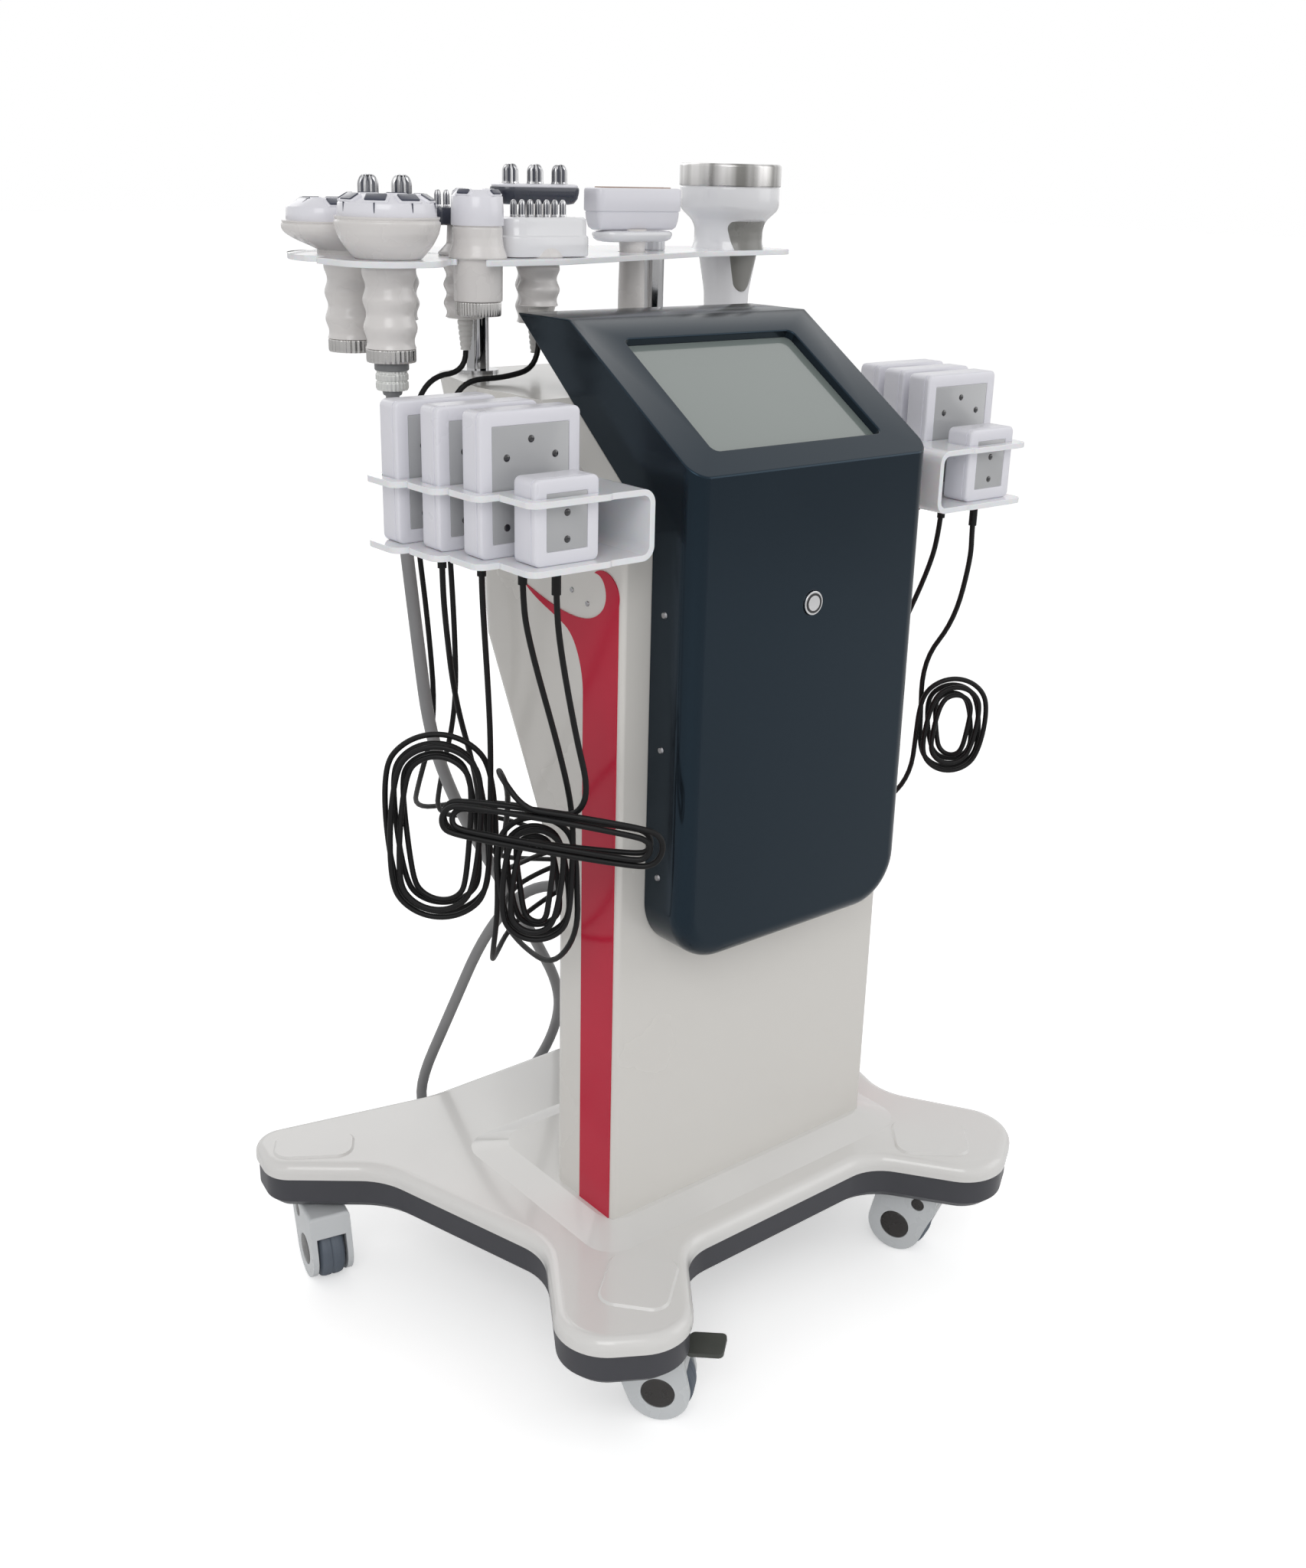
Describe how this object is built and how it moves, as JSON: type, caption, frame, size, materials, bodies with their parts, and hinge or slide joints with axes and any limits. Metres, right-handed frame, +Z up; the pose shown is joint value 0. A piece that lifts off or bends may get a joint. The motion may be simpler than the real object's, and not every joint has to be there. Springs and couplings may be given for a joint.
{
  "type": "skin firming device",
  "caption": "Salon treatment cart on casters: a column with a sloped touch screen, a tray of lift-out handpieces and a side bracket of pads on each side.",
  "frame": {"origin": "centre of the footprint without the cables, on the floor", "axes": "+X to the object's right as one faces its screen, +Y away from the screen towards the back, +Z up"},
  "size_m": [0.8854, 0.6663, 1.288],
  "materials": {
    "cover_white": "glossy warm white moulding",
    "skirt_charcoal": "satin charcoal moulding",
    "frame_steel": "black powder coat on steel tube",
    "stem_zinc": "zinc-plated steel",
    "caster_grey": "light grey nylon",
    "wheel_tyre": "dark blue-grey tread with a pale hub",
    "pedal_olive": "dark olive nylon",
    "column_white": "glossy warm white shell",
    "panel_grey": "fine textured grey paint",
    "inlet_black": "black moulding with steel pins",
    "inner_metal": "grey painted housings",
    "stripe_crimson": "glossy crimson inlay",
    "housing_navy": "very dark navy gloss paint",
    "screen_glass": "grey-green display behind cover glass",
    "screw_zinc": "small polished screws",
    "button_metal": "polished bezel and button",
    "post_chrome": "polished chrome tube",
    "tray_white": "white acrylic",
    "handle_white": "pearl white handles with a metal ring",
    "cup_white": "white cups with dark electrodes",
    "probe_dark": "dark head over a white handle",
    "tip_steel": "polished electrode tips",
    "disc_steel": "turned and polished metal disc",
    "pad_white": "white pad with a light grey window",
    "cable_black": "black flexible cable",
    "hose_grey": "mid-grey flexible hose"
  },
  "bodies": {
    "cart": {"base_cover": "cover_white", "base_frame": "frame_steel", "base_skirt": "skirt_charcoal", "button_bezel": "button_metal", "caster_stems": "stem_zinc", "column_shell": "column_white", "front_housing": "housing_navy", "handpiece_leads": "cable_black", "housing_screws": "screw_zinc", "inner_units": "inner_metal", "left_hank": "cable_black", "level_hank": "cable_black", "pad_leads_left": "cable_black", "pad_leads_right": "cable_black", "power_inlet": "inlet_black", "rear_panel": "panel_grey", "right_hank": "cable_black", "side_stripes": "stripe_crimson", "side_tray_left": "tray_white", "side_tray_right": "tray_white", "top_tray": "tray_white", "touch_screen": "screen_glass", "tray_knobs": "tray_white", "tray_posts": "post_chrome", "upright_hank": "cable_black", "vacuum_hose": "hose_grey"},
    "hood_front_left": {"caster_hood_front_left": "caster_grey"},
    "wheel_front_left": {"caster_wheel_front_left": "wheel_tyre"},
    "pedal_front_left": {"brake_pedal_front_left": "pedal_olive"},
    "hood_front_right": {"caster_hood_front_right": "caster_grey"},
    "wheel_front_right": {"caster_wheel_front_right": "wheel_tyre"},
    "pedal_front_right": {"brake_pedal_front_right": "pedal_olive"},
    "hood_rear_left": {"caster_hood_rear_left": "caster_grey"},
    "wheel_rear_left": {"caster_wheel_rear_left": "wheel_tyre"},
    "hood_rear_right": {"caster_hood_rear_right": "caster_grey"},
    "wheel_rear_right": {"caster_wheel_rear_right": "wheel_tyre"},
    "large_pad_1_left": {"large_pad_1_left": "pad_white"},
    "large_pad_2_left": {"large_pad_2_left": "pad_white"},
    "large_pad_3_left": {"large_pad_3_left": "pad_white"},
    "small_pad_left": {"small_pad_left": "pad_white"},
    "large_pad_1_right": {"large_pad_1_right": "pad_white"},
    "large_pad_2_right": {"large_pad_2_right": "pad_white"},
    "large_pad_3_right": {"large_pad_3_right": "pad_white"},
    "small_pad_right": {"small_pad_right": "pad_white"},
    "vacuum_handset": {"vacuum_handpiece": "handle_white", "vacuum_cup": "cup_white"},
    "wide_handset": {"wide_handpiece": "handle_white", "wide_cup": "cup_white"},
    "face_handset": {"face_handpiece": "handle_white", "face_cup": "cup_white"},
    "body_probe_set": {"body_probe": "probe_dark", "body_probe_tips": "tip_steel"},
    "rear_probe_set": {"rear_probe": "probe_dark"},
    "side_probe_set": {"side_probe": "probe_dark"},
    "row_probe_set": {"row_probe": "handle_white", "row_probe_tips": "tip_steel"},
    "plate_probe_set": {"plate_probe": "handle_white"},
    "cavitation_handset": {"cavitation_handpiece": "handle_white", "cavitation_disc": "disc_steel"},
    "button": {"power_button": "button_metal"}
  },
  "joints": [
    {"name": "swivel_front_left", "type": "hinge", "parent": "cart", "child": "hood_front_left", "pos_m": [-0.23192, -0.24812, 0.09], "axis": [0, 0, 1], "continuous": true},
    {"name": "roll_front_left", "type": "hinge", "parent": "hood_front_left", "child": "wheel_front_left", "pos_m": [-0.21392, -0.26957, 0.0375], "axis": [-0.766, -0.6428, 0], "continuous": true},
    {"name": "brake_front_left", "type": "hinge", "parent": "hood_front_left", "child": "pedal_front_left", "pos_m": [-0.20267, -0.28298, 0.084], "axis": [0.766, 0.6428, 0], "range_deg": [0, 18]},
    {"name": "swivel_front_right", "type": "hinge", "parent": "cart", "child": "hood_front_right", "pos_m": [0.23192, -0.24812, 0.09], "axis": [0, 0, 1], "continuous": true},
    {"name": "roll_front_right", "type": "hinge", "parent": "hood_front_right", "child": "wheel_front_right", "pos_m": [0.22189, -0.22198, 0.0375], "axis": [0.9336, 0.3584, 0], "continuous": true},
    {"name": "brake_front_right", "type": "hinge", "parent": "hood_front_right", "child": "pedal_front_right", "pos_m": [0.21561, -0.20565, 0.084], "axis": [-0.9336, -0.3584, 0], "range_deg": [0, 18]},
    {"name": "swivel_rear_left", "type": "hinge", "parent": "cart", "child": "hood_rear_left", "pos_m": [-0.38222, 0.19492, 0.09], "axis": [0, 0, 1], "continuous": true},
    {"name": "roll_rear_left", "type": "hinge", "parent": "hood_rear_left", "child": "wheel_rear_left", "pos_m": [-0.38804, 0.16753, 0.0375], "axis": [-0.9781, 0.2079, 0], "continuous": true},
    {"name": "swivel_rear_right", "type": "hinge", "parent": "cart", "child": "hood_rear_right", "pos_m": [0.38222, 0.19492, 0.09], "axis": [0, 0, 1], "continuous": true},
    {"name": "roll_rear_right", "type": "hinge", "parent": "hood_rear_right", "child": "wheel_rear_right", "pos_m": [0.38947, 0.16787, 0.0375], "axis": [-0.9659, -0.2588, 0], "continuous": true},
    {"name": "lift_large_pad_1_left", "type": "slide", "parent": "cart", "child": "large_pad_1_left", "axis": [0, 0, 1], "range_m": [0, 0.15]},
    {"name": "lift_large_pad_2_left", "type": "slide", "parent": "cart", "child": "large_pad_2_left", "axis": [0, 0, 1], "range_m": [0, 0.15]},
    {"name": "lift_large_pad_3_left", "type": "slide", "parent": "cart", "child": "large_pad_3_left", "axis": [0, 0, 1], "range_m": [0, 0.15]},
    {"name": "lift_small_pad_left", "type": "slide", "parent": "cart", "child": "small_pad_left", "axis": [0, 0, 1], "range_m": [0, 0.1]},
    {"name": "lift_large_pad_1_right", "type": "slide", "parent": "cart", "child": "large_pad_1_right", "axis": [0, 0, 1], "range_m": [0, 0.15]},
    {"name": "lift_large_pad_2_right", "type": "slide", "parent": "cart", "child": "large_pad_2_right", "axis": [0, 0, 1], "range_m": [0, 0.15]},
    {"name": "lift_large_pad_3_right", "type": "slide", "parent": "cart", "child": "large_pad_3_right", "axis": [0, 0, 1], "range_m": [0, 0.15]},
    {"name": "lift_small_pad_right", "type": "slide", "parent": "cart", "child": "small_pad_right", "axis": [0, 0, 1], "range_m": [0, 0.1]},
    {"name": "lift_vacuum_handset", "type": "slide", "parent": "cart", "child": "vacuum_handset", "axis": [0, 0, 1], "range_m": [0, 0.15]},
    {"name": "lift_wide_handset", "type": "slide", "parent": "cart", "child": "wide_handset", "axis": [0, 0, 1], "range_m": [0, 0.15]},
    {"name": "lift_face_handset", "type": "slide", "parent": "cart", "child": "face_handset", "axis": [0, 0, 1], "range_m": [0, 0.1]},
    {"name": "lift_body_probe_set", "type": "slide", "parent": "cart", "child": "body_probe_set", "axis": [0, 0, 1], "range_m": [0, 0.15]},
    {"name": "lift_rear_probe_set", "type": "slide", "parent": "cart", "child": "rear_probe_set", "axis": [0, 0, 1], "range_m": [0, 0.15]},
    {"name": "lift_side_probe_set", "type": "slide", "parent": "cart", "child": "side_probe_set", "axis": [0, 0, 1], "range_m": [0, 0.15]},
    {"name": "lift_row_probe_set", "type": "slide", "parent": "cart", "child": "row_probe_set", "axis": [0, 0, 1], "range_m": [0, 0.12]},
    {"name": "lift_plate_probe_set", "type": "slide", "parent": "cart", "child": "plate_probe_set", "axis": [0, 0, 1], "range_m": [0, 0.15]},
    {"name": "lift_cavitation_handset", "type": "slide", "parent": "cart", "child": "cavitation_handset", "axis": [0, 0, 1], "range_m": [0, 0.15]},
    {"name": "button_press", "type": "slide", "parent": "cart", "child": "button", "axis": [0, 1, 0], "range_m": [0, 0.002], "stiffness_N_per_m": 800}
  ]
}
